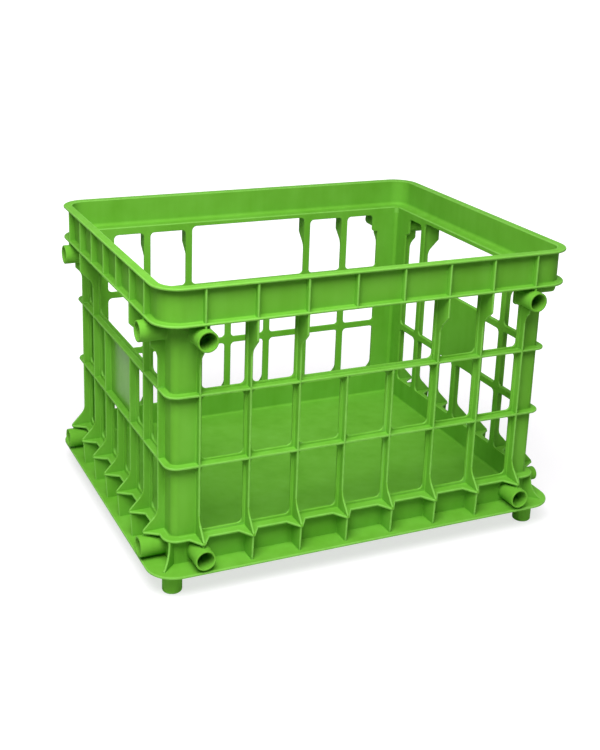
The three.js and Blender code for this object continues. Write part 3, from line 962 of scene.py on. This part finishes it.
def mark_edges(piece):
    """Notes which faces are rounded-over edges, where a lighter green is painted on as a highlight.
    """
    form = bmesh.new()
    form.from_mesh(piece.data)
    edge = form.faces.layers.float.new("edge")
    for face in form.faces:
        half_width = face.calc_area() / face.calc_perimeter() / MM
        turns = [side.calc_face_angle_signed(0) for side in face.edges]
        over = any(ROUND_OVER < turn < SMOOTH_UNDER for turn in turns)
        face[edge] = 1 if over and EDGE_WIDTH[0] < half_width < EDGE_WIDTH[1] else 0
    form.to_mesh(piece.data)
    form.free()


def polish_outside(piece):
    """Gives a label panel's outer face, where the label goes, its smoother plastic."""
    for face in piece.data.polygons:
        face.material_index = 1 if face.normal.x * face.center.x > 0 else 0


def part_moulding(body, materials):
    for node, cells in pieces_in_order():
        piece = take(body, cells)
        piece.name = f"{node}_shell"
        piece.data.name = piece.name
        piece.data.materials.clear()
        piece.data.materials.append(materials["wall"])
        if "label" in node:
            piece.data.materials.append(materials["label"])
            polish_outside(piece)
        mark_edges(piece)
        soften(piece)
        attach(piece, "root")
        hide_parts(node)
    discard(body)


# Materials: moulded plastic with faint mottling, flow marks, a fine grain, and a painted highlight,
# a lighter green on rounded-over edges
DEEP_GREEN = (0.122, 0.376, 0.027, 1)
GREEN = (0.142, 0.416, 0.036, 1)
FRESH_GREEN = (0.16, 0.45, 0.046, 1)
# Painted highlight: the lighter green laid on rounded-over edges
EDGE_HIGHLIGHT_GREEN = (0.205, 0.51, 0.08, 1)
WHITE = (1, 1, 1, 1)
TONE_STOPS = (0.32, 0.5, 0.68)
FLOW_STRETCH = (1, 1, 0.14)
FLOW_SHARE = 0.4
# How strongly the painted edge highlight shows, spread over a noise
HIGHLIGHT_SHARES = (0.55, 1)
GRAIN_HEIGHT = 0.15

# Noises: scale, detail and roughness, and the middle stretch of their values
MOTTLING = (24, 3, 0.55)
FLOW = (75, 2, 0.5)
# This noise breaks up the painted edge highlight
HIGHLIGHT_BREAKUP = (190, 3, 0.6)
POLISH = (110, 4, 0.6)
GRAIN = (1500, 2, 0.5)
NOISE_MIDDLE = (0.3, 0.7)


class Nodes:
    """The node tree of a material or world, with short calls to fill it."""

    def __init__(self, owner, shader="Principled BSDF"):
        owner.use_nodes = True
        self.tree = owner.node_tree
        self.shader = self.tree.nodes[shader]

    def add(self, kind, **settings):
        made = self.tree.nodes.new("ShaderNode" + kind)
        for name, value in settings.items():
            setattr(made, name, value)
        return made

    def link(self, source, target):
        self.tree.links.new(source, target)

    def noise(self, place, scale, detail, roughness):
        made = self.add("TexNoise")
        self.link(place, made.inputs["Vector"])
        made.inputs["Scale"].default_value = scale
        made.inputs["Detail"].default_value = detail
        made.inputs["Roughness"].default_value = roughness
        return made.outputs["Fac"]

    def mapped(self, value, source, target):
        """A value's (low, high) stretch, spread over another."""
        made = self.add("MapRange")
        self.link(value, made.inputs["Value"])
        for name, limits in (("From", source), ("To", target)):
            made.inputs[f"{name} Min"].default_value = limits[0]
            made.inputs[f"{name} Max"].default_value = limits[1]
        return made.outputs["Result"]

    def blended(self, kind, factor, first, second):
        made = self.add("Mix", data_type=kind)
        slots = [s for s in made.inputs if s.enabled and s.name in "AB"]
        for slot, value in zip(slots, (first, second)):
            if isinstance(value, tuple):
                slot.default_value = value
            else:
                self.link(value, slot)
        if isinstance(factor, float):
            made.inputs["Factor"].default_value = factor
        else:
            self.link(factor, made.inputs["Factor"])
        return next(s for s in made.outputs if s.enabled)

    def product(self, first, second):
        made = self.add("Math", operation="MULTIPLY")
        self.link(first, made.inputs[0])
        self.link(second, made.inputs[1])
        return made.outputs["Value"]


def plastic(name, smooth, rough, grain, sheen):
    """The crate's plastic, with its range of roughness, its grain's depth and its sheen."""
    material = bpy.data.materials.new(name)
    nodes = Nodes(material)
    place = nodes.add("TexCoord").outputs["Object"]
    stretch = nodes.add("Mapping")
    stretch.inputs["Scale"].default_value = FLOW_STRETCH
    nodes.link(place, stretch.inputs["Vector"])
    mottling = nodes.noise(place, *MOTTLING)
    flow = nodes.noise(stretch.outputs["Vector"], *FLOW)
    tone = nodes.add("ValToRGB")
    tone.color_ramp.elements[0].position = TONE_STOPS[0]
    tone.color_ramp.elements[0].color = DEEP_GREEN
    tone.color_ramp.elements[1].position = TONE_STOPS[2]
    tone.color_ramp.elements[1].color = FRESH_GREEN
    tone.color_ramp.elements.new(TONE_STOPS[1]).color = GREEN
    nodes.link(nodes.blended("FLOAT", FLOW_SHARE, mottling, flow), tone.inputs["Fac"])

    # Painted highlight: rounded-over edges get a lighter green, broken up by a noise
    highlight_share = nodes.mapped(nodes.noise(place, *HIGHLIGHT_BREAKUP), NOISE_MIDDLE, HIGHLIGHT_SHARES)
    edge = nodes.add("Attribute", attribute_name="edge").outputs["Fac"]
    colour = nodes.blended("RGBA", nodes.product(edge, highlight_share), tone.outputs["Color"], EDGE_HIGHLIGHT_GREEN)
    nodes.link(colour, nodes.shader.inputs["Base Color"])

    polish = nodes.mapped(nodes.noise(place, *POLISH), NOISE_MIDDLE, (smooth, rough))
    nodes.link(polish, nodes.shader.inputs["Roughness"])
    nodes.shader.inputs["Specular IOR Level"].default_value = sheen

    bump = nodes.add("Bump")
    bump.inputs["Strength"].default_value = grain
    bump.inputs["Distance"].default_value = GRAIN_HEIGHT * MM
    nodes.link(nodes.noise(place, *GRAIN), bump.inputs["Height"])
    nodes.link(bump.outputs["Normal"], nodes.shader.inputs["Normal"])
    return material


# Studio: the camera, a pale floor, a softbox near the front left corner and distant fills
CAMERA_AZIMUTH = -25.188
CAMERA_ELEVATION = 17.161
CAMERA_ROLL = 2.044
CAMERA_DISTANCE = 1240.54
CAMERA_TARGET = (-3.47, 0, 229.72)
FOCAL_PIXELS = 1208.09
RAISED_PIXELS = 90
IMAGE_HEIGHT = 750
SENSOR = 36


def make_camera():
    degrees = (CAMERA_AZIMUTH, CAMERA_ELEVATION, CAMERA_ROLL)
    azimuth, elevation, roll = (math.radians(angle) for angle in degrees)
    back = Vector(
        (
            math.sin(azimuth) * math.cos(elevation),
            -math.cos(azimuth) * math.cos(elevation),
            math.sin(elevation),
        )
    )
    right = Vector((0, 0, 1)).cross(back).normalized()
    up = back.cross(right)
    turned_right = right * math.cos(roll) + up * math.sin(roll)
    turned_up = up * math.cos(roll) - right * math.sin(roll)
    camera = bpy.data.objects.new("camera", bpy.data.cameras.new("camera"))
    camera.data.sensor_width = SENSOR
    camera.data.lens = FOCAL_PIXELS / IMAGE_HEIGHT * SENSOR
    camera.data.shift_y = -RAISED_PIXELS / IMAGE_HEIGHT
    axes = Matrix((turned_right, turned_up, back)).transposed().to_4x4()
    place = Vector(CAMERA_TARGET) * MM + back * CAMERA_DISTANCE * MM
    camera.matrix_world = Matrix.Translation(place) @ axes
    bpy.context.scene.collection.objects.link(camera)
    bpy.context.scene.camera = camera


FLOOR_SIZE = 40000
FLOOR_FADE = (300, 640)
FLOOR_GREYS = ((0.85, 0.85, 0.85, 1), (0.3, 0.3, 0.3, 1))
FLOOR_WHITES = (0.7, 0.97)
FLOOR_SHADE = (0.37, 0.35, 0.38, 1)
SKY = 0.06


def background_rays(nodes):
    """One for the rays that show the background: seen, mirrored or passed on by glass."""
    rays = nodes.add("LightPath")
    mirrored = nodes.add("Math", operation="MAXIMUM")
    nodes.link(rays.outputs["Is Glossy Ray"], mirrored.inputs[0])
    nodes.link(rays.outputs["Is Transmission Ray"], mirrored.inputs[1])
    shown = nodes.add("Math", operation="MAXIMUM")
    nodes.link(rays.outputs["Is Camera Ray"], shown.inputs[0])
    nodes.link(mirrored.outputs["Value"], shown.inputs[1])
    return shown.outputs["Value"]


def make_floor():
    """A pale floor: it looks white, with a faint shadow, and gives back less light further out."""
    half = FLOOR_SIZE / 2
    corners = [(-half, -half), (half, -half), (half, half), (-half, half)]
    points = [plan(x, y, 0) for x, y in corners]
    floor = build([(points, [(0, 1, 2, 3)])])
    floor.name = "floor"
    floor.data.materials.append(bpy.data.materials.new("floor"))
    nodes = Nodes(floor.data.materials[0])
    shown = background_rays(nodes)
    distance = nodes.add("VectorMath", operation="LENGTH")
    nodes.link(nodes.add("TexCoord").outputs["Object"], distance.inputs[0])
    far = nodes.mapped(distance.outputs["Value"], [limit * MM for limit in FLOOR_FADE], (0, 1))
    grey = nodes.blended("RGBA", far, *FLOOR_GREYS)
    nodes.link(nodes.blended("RGBA", shown, grey, FLOOR_SHADE), nodes.shader.inputs["Base Color"])
    white = nodes.product(shown, nodes.mapped(far, (0, 1), FLOOR_WHITES))
    nodes.link(white, nodes.shader.inputs["Emission Strength"])
    nodes.shader.inputs["Emission Color"].default_value = WHITE
    nodes.shader.inputs["Roughness"].default_value = 1
    nodes.shader.inputs["Specular IOR Level"].default_value = 0


def make_sky():
    """Even light all round, and white where the background shows."""
    world = bpy.data.worlds.new("studio")
    bpy.context.scene.world = world
    nodes = Nodes(world, "Background")
    nodes.shader.inputs["Color"].default_value = WHITE
    strength = nodes.mapped(background_rays(nodes), (0, 1), (SKY, 1))
    nodes.link(strength, nodes.shader.inputs["Strength"])


def make_softbox(place, aim, size, power):
    """A near round lamp, in millimetres and watts."""
    lamp = bpy.data.objects.new("softbox", bpy.data.lights.new("softbox", "AREA"))
    lamp.data.shape = "DISK"
    lamp.data.size = size * MM
    lamp.data.energy = power
    lamp.location = Vector(place) * MM
    lamp.rotation_euler = (Vector(aim) - Vector(place)).to_track_quat("-Z", "Y").to_euler()
    bpy.context.scene.collection.objects.link(lamp)


def make_fill(name, azimuth, elevation, angle, strength):
    """A distant soft lamp that isn't mirrored: its place, how wide it looks and its strength."""
    lamp = bpy.data.objects.new(name, bpy.data.lights.new(name, "SUN"))
    lamp.data.energy = strength
    lamp.data.angle = math.radians(angle)
    lamp.visible_glossy = False
    lamp.rotation_euler = (QUARTER - math.radians(elevation), 0, math.radians(azimuth))
    bpy.context.scene.collection.objects.link(lamp)


bpy.context.scene.view_settings.view_transform = "Standard"
make_camera()
make_sky()
make_softbox(place=(-450, -570, 1010), aim=(0, 0, 200), size=720, power=12.9)
make_fill("overhead_fill", azimuth=-20, elevation=83, angle=40, strength=0.3)
make_fill("front_fill", azimuth=-15, elevation=57, angle=30, strength=1)
make_fill("rear_fill", azimuth=140, elevation=15, angle=60, strength=1.4)
make_floor()
wall_plastic = plastic("green_plastic", smooth=0.56, rough=0.68, grain=0.12, sheen=0.04)
label_plastic = plastic("label_plastic", smooth=0.28, rough=0.36, grain=0.04, sheen=0.08)
part_moulding(moulding(), {"wall": wall_plastic, "label": label_plastic})
